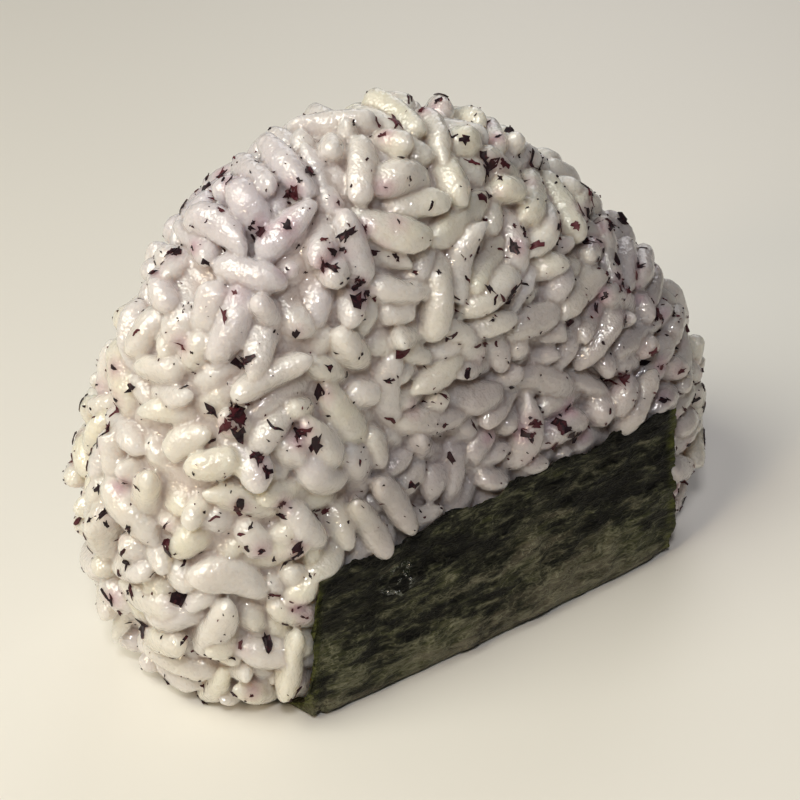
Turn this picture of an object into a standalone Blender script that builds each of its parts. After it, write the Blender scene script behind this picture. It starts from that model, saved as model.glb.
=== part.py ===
"""Onigiri: a hand-pressed, rounded-triangle rice ball with a strip of nori folded under its base.

Metres, +Z up. The triangle stands in the XZ plane on its flattened base, and the strip's two flaps
lie on the front (-Y) and back (+Y) faces. The origin is on the table under the middle of the ball.
The rice is one solid out to its knobbly outline of grains, and the strip is a thin folded sheet.
"""

import math

import bmesh
import bpy
import numpy as np

# The rice ball
HEIGHT = 0.064                 # table to top
WIDTH = 0.084                  # along X, at the widest
DEPTH_BASE = 0.0375            # along Y, at the base
DEPTH_TOP = 0.0225             # along Y, carried up to the top
TAPER_POWER = 1.3              # how late the faces start to lean together
CORNER_LEFT = 0.0244           # radii of the triangle's three corners
CORNER_RIGHT = 0.0224
CORNER_TOP = 0.0250
APEX_X = -0.0086               # the top corner's middle, left of centre
SIDE_BULGE = 0.0036            # how far the sides swell between the corners
PRESSED_FLAT = 0.0086          # what the round form would reach below its flat base
FACE_FLATNESS = 7.9            # high: flat front and back with a quick turn at the rim
RIM_ROUNDNESS = 1.5
FORM_MIDDLE = 0.42             # the form's middle, as a share of its full height

# The nori strip
SHEET = 0.0004
GAP = 0.0003                   # between the strip and the rice
STRIP_LEFT = -0.0252           # at the tops of the flaps
STRIP_LEFT_BASE = -0.0276      # under the ball, where the sheet is cut askew
STRIP_RIGHT = 0.0272
FLAP_LEFT = 0.0188             # how far up the faces the flaps reach, at either end
FLAP_RIGHT = 0.0216
STIFFNESS = 0.62               # how much of the ball's curve the sheet bridges at its folds
EDGE_WAVE = 0.00035            # unevenness of the strip's cut edges
STRIP_COLUMNS = 18
FLAP_ROWS = 14
BASE_ROWS = 8
FOLD_LIFT = 0.0001             # the two folds curve up this far off the table

# The grains that show as relief
GRAIN_LENGTH = 0.0085
GRAIN_WIDTH = 0.0046
GRAIN_RELIEF = 0.0020
RELIEF_BELOW = 0.0009          # the gaps between grains lie this far under the smooth form
GRAIN_COUNT = 420
GRAIN_SEED = 11
RELIEF_MARGIN = 0.0016         # the rice stays smooth this far past the strip's edges
RELIEF_FADE = 0.0022
SPHERE_CUTS = 25               # cuts across each side of the cube that becomes the ball

BASE_Z = GAP + SHEET           # the rice's pressed base, just above the strip's bottom layer


def smooth_outline(count=720):
    """The triangle's edge in XZ as (x, z) rows: the soft hull of its three corner circles."""
    full_height = HEIGHT - BASE_Z + PRESSED_FLAT
    middles = np.array([
        (-WIDTH / 2 + CORNER_LEFT, CORNER_LEFT),
        (WIDTH / 2 - CORNER_RIGHT, CORNER_RIGHT),
        (APEX_X, full_height - CORNER_TOP),
    ])
    radii = np.array([CORNER_LEFT, CORNER_RIGHT, CORNER_TOP])
    turn = np.linspace(0, 2 * math.pi, count, endpoint=False)
    normal = np.stack([np.cos(turn), np.sin(turn)], 1)
    along = np.stack([-np.sin(turn), np.cos(turn)], 1)
    reach = normal @ middles.T + radii
    weight = np.exp((reach - reach.max(1, keepdims=True)) / SIDE_BULGE)
    support = reach.max(1) + SIDE_BULGE * np.log(weight.sum(1))
    slope = ((along @ middles.T) * weight).sum(1) / weight.sum(1)
    edge = support[:, None] * normal + slope[:, None] * along
    edge[:, 0] -= (edge[:, 0].max() + edge[:, 0].min()) / 2
    edge[:, 1] += HEIGHT - edge[:, 1].max()
    return edge


class RiceForm:
    """The ball's smooth form, before the grains' relief."""

    def __init__(self):
        edge = smooth_outline()
        self.floor = BASE_Z
        lowest = edge[:, 1].min()
        self.middle = np.array([edge[:, 0].mean(), lowest + FORM_MIDDLE * (HEIGHT - lowest)])
        spoke = edge - self.middle
        angle = np.arctan2(spoke[:, 1], spoke[:, 0])
        order = np.argsort(angle)
        self.angles = angle[order]
        self.radii = np.hypot(spoke[:, 0], spoke[:, 1])[order]

    def edge_radius(self, angle):
        return np.interp(angle, self.angles, self.radii, period=2 * math.pi)

    def half_depth(self, z):
        rise = np.clip((z - self.floor) / (HEIGHT - self.floor), 0, 1.1)
        return (DEPTH_BASE - (DEPTH_BASE - DEPTH_TOP) * rise ** TAPER_POWER) / 2

    def swell(self, ring):
        """How much of the half depth is left at this share of the way out to the rim."""
        return np.clip(1 - ring ** FACE_FLATNESS, 0, 1) ** (1 / RIM_ROUNDNESS)

    def surface(self, directions):
        """Points of the form that unit directions from its middle lead to."""
        x, y, z = directions.T
        ring = np.hypot(x, z)
        radius = self.edge_radius(np.arctan2(z, x)) * ring
        turn = np.arctan2(z, x)
        out_x = self.middle[0] + radius * np.cos(turn)
        out_z = self.middle[1] + radius * np.sin(turn)
        out_y = np.sign(y) * self.half_depth(out_z) * self.swell(ring)
        return np.stack([out_x, out_y, np.maximum(out_z, self.floor)], 1)

    def face_depth(self, x, z):
        """Half the ball's depth along Y at this place on its face."""
        spoke = np.stack([x, z], -1) - self.middle
        ring = np.hypot(spoke[..., 0], spoke[..., 1])
        ring = ring / self.edge_radius(np.arctan2(spoke[..., 1], spoke[..., 0]))
        return self.half_depth(z) * self.swell(np.clip(ring, 0, 1))


def material(name, colour, roughness):
    made = bpy.data.materials.new(name)
    made.use_nodes = True
    shader = made.node_tree.nodes["Principled BSDF"]
    shader.inputs["Base Color"].default_value = (*colour, 1)
    shader.inputs["Roughness"].default_value = roughness
    made.diffuse_color = (*colour, 1)
    return made


def add_object(name, mesh, finish, collection):
    made = bpy.data.objects.new(name, mesh)
    made.data.materials.append(finish)
    collection.objects.link(made)
    mesh.shade_smooth()
    return made


def unit(vectors):
    return vectors / np.linalg.norm(vectors, axis=-1, keepdims=True)


def spread_directions(count):
    """Unit directions spread evenly over a sphere, along a spiral."""
    step = np.arange(count) + 0.5
    tilt = np.arccos(1 - 2 * step / count)
    turn = math.pi * (1 + math.sqrt(5)) * step
    return np.stack([np.sin(tilt) * np.cos(turn), np.cos(tilt), np.sin(tilt) * np.sin(turn)], 1)


def grain_relief(points, normals, form):
    """How far each point stands out of the form because a grain lies there."""
    chance = np.random.default_rng(GRAIN_SEED)
    nudge = chance.normal(0, 0.04, (GRAIN_COUNT, 3))
    seeds = form.surface(unit(spread_directions(GRAIN_COUNT) + nudge))
    headings = chance.normal(size=(GRAIN_COUNT, 3))
    heights = chance.uniform(0.55, 1, GRAIN_COUNT)
    relief = np.zeros(len(points))
    for seed, heading, height in zip(seeds, headings, heights):
        along = unit(heading - normals * (normals @ heading)[:, None])
        across = np.cross(normals, along)
        offset = points - seed
        lengthwise = (offset * along).sum(1) / (GRAIN_LENGTH / 2)
        sideways = (offset * across).sum(1) / (GRAIN_WIDTH / 2)
        through = (offset * normals).sum(1) / GRAIN_LENGTH
        inside = np.clip(1 - lengthwise ** 2 - sideways ** 2 - through ** 2, 0, 1)
        relief = np.maximum(relief, height * np.sqrt(inside))
    return relief * GRAIN_RELIEF - RELIEF_BELOW


def softened(values, vertices):
    """Each vertex's value averaged half with its neighbours', which rounds off single spikes."""
    around = [np.mean([values[e.other_vert(v).index] for e in v.link_edges]) for v in vertices]
    return (values + np.array(around)) / 2


def flap_top(x):
    """The height of the flaps' upper edge, which rises a little towards +X."""
    share = np.clip((x - STRIP_LEFT) / (STRIP_RIGHT - STRIP_LEFT), 0, 1)
    return BASE_Z + FLAP_LEFT + (FLAP_RIGHT - FLAP_LEFT) * share


def clear_of_strip(points):
    """0 under the strip and close to its edges, rising to 1 where the rice is bare."""
    middle = (STRIP_LEFT_BASE + STRIP_RIGHT) / 2
    past_side = np.abs(points[:, 0] - middle) - (STRIP_RIGHT - STRIP_LEFT_BASE) / 2
    past_top = points[:, 2] - flap_top(points[:, 0])
    past = np.maximum(past_side, past_top) - RELIEF_MARGIN
    share = np.clip(past / RELIEF_FADE, 0, 1)
    return share * share * (3 - 2 * share)


def build_rice(form, collection):
    """A finely divided cube rounded into the form, then roughened by its grains."""
    shape = bmesh.new()
    bmesh.ops.create_cube(shape, size=2)
    bmesh.ops.subdivide_edges(shape, edges=shape.edges[:], cuts=SPHERE_CUTS, use_grid_fill=True)
    shape.verts.index_update()
    corners = np.array([vertex.co for vertex in shape.verts])
    directions = unit(np.tan(corners * math.pi / 4))
    points = form.surface(directions)
    for vertex, place in zip(shape.verts, points):
        vertex.co = place
    bmesh.ops.recalc_face_normals(shape, faces=shape.faces[:])
    shape.normal_update()
    normals = np.array([vertex.normal for vertex in shape.verts])
    rise = softened(grain_relief(points, normals, form), shape.verts) * clear_of_strip(points)
    points = points + normals * rise[:, None]
    points[:, 2] = np.maximum(points[:, 2], GAP)
    for vertex, place in zip(shape.verts, points):
        vertex.co = place
    mesh = bpy.data.meshes.new("rice_ball")
    shape.to_mesh(mesh)
    shape.free()
    finish = material("rice", (0.80, 0.77, 0.72), 0.32)
    return add_object("rice_ball", mesh, finish, collection)


def strip_section(form, x, top):
    """The strip's inner line in the plane of this x: up the back, across the base, up the front."""
    share = np.linspace(0, 1, FLAP_ROWS + 1)
    heights = BASE_Z + (top - BASE_Z) * share ** 1.3
    depths = form.face_depth(np.full_like(heights, x), heights)
    fullest = form.face_depth(np.zeros_like(heights), heights)
    depths += (fullest - depths) * STIFFNESS * (1 - share)
    front = np.stack([-depths, heights], 1)[::-1]
    across = np.linspace(-depths[0], depths[0], BASE_ROWS + 1)[1:-1]
    base = np.stack([across, np.full_like(across, BASE_Z)], 1)
    back = np.stack([depths, heights], 1)
    line = np.concatenate([front, base, back])
    run = np.gradient(line, axis=0)
    outward = unit(np.stack([run[:, 1], -run[:, 0]], 1))
    moved = line + outward * GAP
    base_rows = line[:, 1] <= BASE_Z + 1e-6
    moved[base_rows, 1] = BASE_Z - GAP
    moved[[FLAP_ROWS, -FLAP_ROWS - 1], 1] += FOLD_LIFT
    return moved


def build_strip(form, collection):
    """An open folded sheet, made solid by Solidify on its outer side."""
    span = np.linspace(0, 1, STRIP_COLUMNS + 1)
    rows = 2 * (FLAP_ROWS + 1) + BASE_ROWS - 1
    row = np.arange(rows)
    down = np.clip(np.minimum(row, rows - 1 - row) / FLAP_ROWS, 0, 1)
    left = STRIP_LEFT + (STRIP_LEFT_BASE - STRIP_LEFT) * down + EDGE_WAVE * np.sin(row * 0.9)
    right = STRIP_RIGHT + EDGE_WAVE * np.sin(row * 0.7 + 2)
    shape = bmesh.new()
    grid = []
    for step, share in enumerate(span):
        nominal = STRIP_LEFT + (STRIP_RIGHT - STRIP_LEFT) * share
        top = flap_top(nominal) + EDGE_WAVE * math.sin(step * 1.3)
        section = strip_section(form, nominal, top)
        x = left + (right - left) * share
        grid.append([shape.verts.new((x[k], *section[k])) for k in range(rows)])
    for first, second in zip(grid, grid[1:]):
        for k in range(rows - 1):
            shape.faces.new((first[k], first[k + 1], second[k + 1], second[k]))
    mesh = bpy.data.meshes.new("nori_strip")
    shape.to_mesh(mesh)
    shape.free()
    finish = material("nori", (0.018, 0.028, 0.014), 0.45)
    strip = add_object("nori_strip", mesh, finish, collection)
    thicken = strip.modifiers.new("Sheet", "SOLIDIFY")
    thicken.thickness = SHEET
    thicken.offset = 1
    thicken.use_even_offset = True
    return strip


def clear_scene():
    for leftover in list(bpy.data.objects):
        bpy.data.objects.remove(leftover)


def main():
    clear_scene()
    collection = bpy.data.collections.new("onigiri")
    bpy.context.scene.collection.children.link(collection)
    form = RiceForm()
    build_rice(form, collection)
    build_strip(form, collection)


main()
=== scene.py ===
"""Looks of the onigiri: cooked grains joined over a core, red shiso flakes and the folded nori sheet."""

import math

import bmesh
import bpy
import numpy as np
from mathutils import Matrix, Vector
from mathutils.bvhtree import BVHTree
from mathutils.kdtree import KDTree
from mathutils.noise import fractal

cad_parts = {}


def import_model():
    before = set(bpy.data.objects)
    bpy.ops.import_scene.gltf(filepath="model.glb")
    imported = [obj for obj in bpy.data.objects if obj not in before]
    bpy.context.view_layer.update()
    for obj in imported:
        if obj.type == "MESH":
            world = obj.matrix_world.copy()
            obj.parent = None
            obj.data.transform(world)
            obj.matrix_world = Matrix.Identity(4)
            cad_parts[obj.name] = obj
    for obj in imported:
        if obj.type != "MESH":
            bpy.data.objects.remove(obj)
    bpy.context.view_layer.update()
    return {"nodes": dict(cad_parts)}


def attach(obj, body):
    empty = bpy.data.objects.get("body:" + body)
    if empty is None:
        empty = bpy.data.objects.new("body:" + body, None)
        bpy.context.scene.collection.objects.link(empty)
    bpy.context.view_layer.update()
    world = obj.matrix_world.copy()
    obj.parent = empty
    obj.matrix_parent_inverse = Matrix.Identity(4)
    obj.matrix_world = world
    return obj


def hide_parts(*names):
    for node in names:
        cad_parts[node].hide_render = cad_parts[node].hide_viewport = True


MM = 0.001
SEED = 7

# Rice grains
GRAIN_LENGTH = (7.8 * MM, 10.4 * MM)
GRAIN_WIDTH = (3.45 * MM, 4.25 * MM)
GRAIN_THICKNESS = (0.78, 0.96)  # as shares of the width
BROKEN_LENGTH = (4.2 * MM, 6.2 * MM)
BROKEN_SHARE = 0.10
OUTER_GRAINS = 640
UNDER_GRAINS = 480
SINK, SINK_SPREAD = 0.92, 0.20 * MM  # depth of a lying grain's middle, in radii
LAYER_STEP = 1.4 * MM  # to the second layer
PROUD_SHARE = 0.13  # outer grains that lie loose on the others
PROUD_RISE = 0.40 * MM
PROUD_CLEARANCE = 2 * MM  # and stay this far from the nori
TILT_SPREAD = 12  # degrees
STEEP_SHARE = 0.22  # outer grains that show an end
STEEP_TILT = (18, 52)  # degrees
OVER_EDGE_SHARE = 0.65  # grains by the nori that lie over its edges
PAST_TOP, PAST_LEFT = (2.1 * MM, 4.6 * MM), (1.6 * MM, 3.6 * MM)  # where those start
OVER_EDGE_DEPTH = 0.35 * MM
HANG_SPREAD = 0.55  # sideways lean of those grains
NORI_SINK, SINK_BLEND = 0.35 * MM, 1.5 * MM  # of the grains under the nori, in from its edges
FLAT_PROUD = 0.05 * MM  # how far they come out of the ball's form
FLAT_INSET, FLAT_BLEND = 0.2 * MM, 0.8 * MM  # in from the nori's edges
LOWEST_RICE = 0.15 * MM

# Packing: each step moves, turns and pulls a grain by these shares of what it lacks
PACKING_STEPS = 60
PAIRING_STEPS, PAIRING_MARGIN = 4, 0.3 * MM  # steps between searches for near grains
OVERLAP = 0.84  # 1 lets grains only touch
CHAIN = np.array([-1.0, -0.34, 0.34, 1.0])  # spheres along a grain's reach
MOVE, TURN, DEPTH_PULL, TILT_PULL, HOME_PULL = 0.42, 0.6, 0.5, 0.25, 0.5

# Form of one grain
RINGS, SIDES = 19, 14
BLUNTNESS = (2.1, 3.4)  # power of the ends' curve
POINTEDNESS = 0.30  # of one end
SNAPPED = 0.35  # power that squares off a broken end
LOBES = (0.045, 0.035, 0.035)  # unevenness round the grain and along it
BEND = 0.38 * MM
NOTCH_SHARE, NOTCH_DEPTH = 0.5, 0.34 * MM  # the germ's dent near one end
NOTCH_PLACE, NOTCH_REACH = 0.84, 0.16

# One skin over the grains
CORE_DEPTH = 1.8 * MM
VOXEL = 0.20 * MM
MOST_TRIANGLES = 197000
GROOVE_DEPTH = 0.17 * MM  # the crease between two grains that touch
GROOVE_REACH = 0.34 * MM
NEAR_BALLS = 12  # balls looked at round each point
LUMPS, LUMP_SIZE = 0.09 * MM, 1.15 * MM  # unevenness of the grains' skins
DENTS, DENT_SIZE = 0.20 * MM, 2.7 * MM  # and broader dents where they were pressed
BARE_BLEND = 0.5 * MM  # out from the nori's edges
CALM_ROUNDS = 5  # of smoothing, where the rice is pressed calm
HOLLOW_SHADE_DEPTH = 3 * MM  # rice this far under the ball's form gets the most painted shade

# Painted shade makes the rice darker and greyer under a slanting line, between two places along X
LOWER_SHADE_HEIGHT = 38 * MM
LOWER_SHADE_SLOPE = 0.35
LOWER_SHADE_LEFT = -20 * MM
LOWER_SHADE_RIGHT = 33 * MM
LOWER_SHADE_BLUR = 8 * MM
# Rice that the shiso has stained lavender most, at one shoulder, also darkened there as painted shade
TINT_AND_SHADE_SPOT = (-24 * MM, 58 * MM)
TINT_AND_SHADE_REACH = 14 * MM
# Rice that was pressed softest, where the grains run together
SOFT_SPOT = (-27 * MM, 31 * MM)
SOFT_REACH = 15 * MM
SOFT_SHARE = 0.65

# Nori sheet
SHEET_STEP = 0.36 * MM
SHEET_BODY = 0.16 * MM  # between its two faces
BASE_DEPTH = 38 * MM  # of the part under the ball, from fold to fold
SHEET_GAP = 0.12 * MM  # from the strip's inner form to the sheet's outer face
FLAP_SIDE = 18 * MM  # from the ball's middle to a flap
SECTION_RAYS, SECTION_PROBES, EDGE_SAMPLES = 420, 40, 12
LOWEST_NORI, RELIEF_START, RELIEF_BLEND = 0.02 * MM, 0.3 * MM, 1.0 * MM  # heights
EDGE_INSET = 0.7 * MM  # the form is read this far inside the edges
EDGE_WAVE, EDGE_WAVE_SIZE = 0.75 * MM, 3.8 * MM
EDGE_FRAY, EDGE_FRAY_SIZE = 0.28 * MM, 0.75 * MM
IMPRINT = 0.20 * MM  # how deep the grains under the sheet show through it
IMPRINT_RANGE = 0.45 * MM
IMPRINT_BLUR = 7
FEELER_REACH, NO_RICE = 3.5 * MM, 1.2 * MM  # how deep rice is felt for
FIBRES, FIBRE_SIZE = 0.12 * MM, 0.8 * MM
CRINKLES, CRINKLE_SIZE = 0.34 * MM, 2.6 * MM
RIM_GLOW = 1.6 * MM  # width of the edge painted greener, as painted light glowing through the thin sheet
# Turn, stretch and scale of the fibres' noises
FIBRE_SETS = (0.05, 0.20, 520), (0.42, 0.30, 760), (-0.30, 0.26, 640), (0.9, 0.45, 900)
WET_SPOT = (-14.6 * MM, -17.5 * MM, 15.0 * MM)
WET_REACH = 2.8 * MM  # of the wet place on the front flap

# Shiso flakes: how many of each kind, and the share of them that lies in groups
FLAKES, FLAKES_GROUPED = 700, 0.72
SPECKS, SPECKS_GROUPED = 1050, 0.4
THREADS, THREADS_GROUPED = 110, 0.6
HUBS = FLAKES // 4  # middles of the groups, for each kind
HUB_SPREAD = [0.55 * MM, 1.0 * MM, 2.6 * MM]
NORI_CLEARANCE, TABLE_CLEARANCE = 0.4 * MM, 1.2 * MM
FLAKE_SIZE = (0.7 * MM, 2.9 * MM)
SMALL_FLAKES = 1.7  # power that makes small flakes more common
FLAKE_CORNERS = (9, 15)
CORNER_SHIFT, CORNER_REACH = 0.45, (0.22, 1.0)
FLAKE_STRETCH = (0.28, 0.80)
INNER_RING = 0.55
SPECK_SIZE = (0.25 * MM, 0.70 * MM)
SPECK_CORNERS = 5
THREAD_LENGTH = (0.7 * MM, 2.2 * MM)
THREAD_WIDTH = (0.08 * MM, 0.20 * MM)  # half of it, at its middle
THREAD_JOINTS = 7
THREAD_CURL = 0.38  # radians between joints
FLAKE_BODY, BODY_RANGE = 0.08 * MM, (0.7, 1.4)
FLAKE_LIFT = 0.09 * MM
FLAKE_SAG = 0.30 * MM  # how far a flake follows the gaps between grains
FLAKE_CURL, FLAKE_CRUMPLE = 0.22, 0.05 * MM
SHARP_ANGLE = 40
DROP_HEIGHT, DROP_REACH = 2.8 * MM, 5.2 * MM
STAIN_REACH = 1.7 * MM
STAIN_SHARE, STAIN_STRENGTH = 0.4, (0.25, 1.0)

# Camera
LENS = 94.9
SENSOR = 36.0
CAMERA_AZIMUTH = -36.2
CAMERA_ELEVATION = 32.9
CAMERA_ROLL = 0.33
CAMERA_DISTANCE = 246.7 * MM
AIM_HEIGHT = 28.8 * MM
AIM_RIGHT = -0.9 * MM
AIM_UP = -4.1 * MM

# Lights: name, place, width, watts, colour
LIGHTS = (
    ("key", (-0.50, -0.15, 0.33), 0.10, 0.66, (1.0, 0.78, 0.52)),
    ("front", (-0.25, -0.30, 0.50), 0.10, 1.22, (1.0, 0.99, 1.0)),
    ("overhead", (-0.33, 0.03, 0.45), 0.36, 2.26, (1.0, 0.985, 0.86)),
    ("fill", (0.35, 0.35, 0.30), 0.36, 0.55, (1.0, 0.98, 1.0)),
)
LIT_POINT = (0, 0, 0.03)
SKY_COLOUR, SKY_STRENGTH = (1.0, 0.95, 1.0, 1), 0.04
FLOOR_SIZE, FLOOR_COLOUR = 3, (0.80, 0.775, 0.72, 1)


def unit(vectors):
    return vectors / np.maximum(np.linalg.norm(vectors, axis=-1, keepdims=True), 1e-12)


def between(values, limits):
    return (values > limits[0]) & (values < limits[1])


def ripple(points, scale, seed=0.0, octaves=3):
    """Smooth noise between about -1 and 1 at each point; scale is the ripples' size."""
    shift = np.array([1.0, 1.7, 2.3]) * seed
    places = points / scale + shift
    return np.array([fractal(place, 0.6, 2.0, octaves, noise_basis="PERLIN_ORIGINAL") for place in places])


# -------- the CAD nodes' forms


class Form:
    """The ball's smooth skin, from a softened copy of the CAD node's mesh."""

    def __init__(self, node):
        shape = bmesh.new()
        shape.from_mesh(node.data)
        bmesh.ops.remove_doubles(shape, verts=shape.verts, dist=1e-5)
        for _ in range(5):
            bmesh.ops.smooth_vert(
                shape, verts=shape.verts, factor=0.5, use_axis_x=True, use_axis_y=True, use_axis_z=True
            )
        bmesh.ops.triangulate(shape, faces=shape.faces)
        shape.normal_update()
        self.tree = BVHTree.FromBMesh(shape)
        self.points = np.array([v.co for v in shape.verts])
        self.normals = np.array([v.normal for v in shape.verts])
        self.faces = np.array([[v.index for v in f.verts] for f in shape.faces])
        shape.free()

    def nearest(self, points):
        """Depth under the skin and outward normal for each point."""
        depth = np.empty(len(points))
        normal = np.empty((len(points), 3))
        for k, point in enumerate(points):
            place, facing, _, _ = self.tree.find_nearest(point)
            normal[k] = facing
            depth[k] = (place - Vector(point)).dot(facing)
        return depth, normal

    def scatter(self, count, chance):
        """Points spread at random over the skin, by area."""
        corner = self.points[self.faces]
        across, up = corner[:, 1] - corner[:, 0], corner[:, 2] - corner[:, 0]
        area = np.linalg.norm(np.cross(across, up), axis=1)
        face = chance.choice(len(area), count, p=area / area.sum())
        first, second = chance.random((2, count, 1))
        flip = first + second > 1
        first, second = np.where(flip, (1 - first, 1 - second), (first, second))
        return corner[face, 0] + first * across[face] + second * up[face]


class StripForm:
    """The folded strip: its inner face, read by rays from inside the ball, and its slanting edges."""

    def __init__(self, node):
        shape = bmesh.new()
        shape.from_mesh(node.data)
        self.tree = BVHTree.FromBMesh(shape)
        self.corners = np.array([v.co for v in shape.verts])
        shape.free()
        low, high = self.corners.min(0), self.corners.max(0)
        self.left, self.right, self.rise = low[0], high[0], high[2]
        self.heart = 0.5 * self.rise
        self.places = np.linspace(self.left + 2 * MM, self.right - 2 * MM, EDGE_SAMPLES)
        self.tops = np.array([self.top(x) for x in self.places])
        self.heights = np.linspace(0.5 * MM, self.tops.min(), EDGE_SAMPLES)
        self.lefts, self.rights = np.array([self.sides(height) for height in self.heights]).T

    def sides(self, height):
        """The strip's left and right edges in X at this height."""
        near = self.corners[np.abs(self.corners[:, 2] - height) < 1.8 * MM, 0]
        return near.min(), near.max()

    def top(self, x):
        """The height of the flaps at this place along X."""
        return self.corners[np.abs(self.corners[:, 0] - x) < 2.2 * MM, 2].max()

    def edges_by(self, points):
        """The strip's left and right edges and its top, nearest to each point."""
        left = np.interp(points[:, 2], self.heights, self.lefts)
        right = np.interp(points[:, 2], self.heights, self.rights)
        return left, right, np.interp(points[:, 0], self.places, self.tops)

    def beside(self, points, normals):
        """Whether each point lies on a face just past the strip's upper edge or its left one."""
        left, right, top = self.edges_by(points)
        above, before = points[:, 2] - top, left - points[:, 0]
        over = between(above, PAST_TOP) & (before < 0) & (points[:, 0] < right)
        ahead = between(before, PAST_LEFT) & (above < -4 * MM) & (points[:, 2] > 3 * MM)
        return (over | ahead) & (np.abs(normals[:, 1]) > 0.8)

    def inside(self, points):
        """Distance into the covered region, negative outside it."""
        left, right, top = self.edges_by(points)
        side = np.minimum(points[:, 0] - left, right - points[:, 0])
        return np.minimum(side, top - points[:, 2])

    def line(self, x, rows):
        """Points evenly spaced along the section at x, from the front flap's top to the back one's."""
        rise = self.top(x) - EDGE_INSET - self.heart
        start, finish = math.atan2(rise, -FLAP_SIDE), math.atan2(rise, FLAP_SIDE)
        hits = []
        for turn in np.linspace(start, 2 * math.pi + finish, SECTION_RAYS):
            heading = 0, math.cos(turn), math.sin(turn)
            place = self.tree.ray_cast((x, 0, self.heart), heading)[0]
            if place is not None:
                hits.append((place.y, place.z))
        hits = np.array(hits)
        first, last = unit(hits[0] - hits[4]), unit(hits[-1] - hits[-5])
        hits = np.vstack([hits[0] + first * EDGE_INSET, hits, hits[-1] + last * EDGE_INSET])
        run = np.concatenate([[0], np.cumsum(np.linalg.norm(np.diff(hits, axis=0), axis=1))])
        even = np.linspace(0, run[-1], rows)
        return np.stack([np.interp(even, run, hits[:, k]) for k in range(2)], 1)


# -------- packing the grains


def near_pairs(points, reach):
    """Pairs of points closer than the reach, found on a grid."""
    cell = np.floor((points - points.min(0)) / reach).astype(np.int64) + 1
    size = cell.max(0) + 2
    key = (cell[:, 0] * size[1] + cell[:, 1]) * size[2] + cell[:, 2]
    order = np.argsort(key, kind="stable")
    ranked = key[order]
    pairs = []
    for x, y, z in np.ndindex(3, 3, 3):
        wanted = key + ((x - 1) * size[1] + y - 1) * size[2] + z - 1
        start = np.searchsorted(ranked, wanted, "left")
        count = np.searchsorted(ranked, wanted, "right") - start
        first = np.repeat(np.arange(len(points)), count)
        step = np.arange(count.sum()) - np.repeat(np.cumsum(count) - count, count)
        second = order[np.repeat(start, count) + step]
        pairs.append(np.stack([first, second])[:, first < second])
    first, second = np.concatenate(pairs, axis=1)
    close = np.linalg.norm(points[first] - points[second], axis=1) < reach
    return first[close], second[close]


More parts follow.
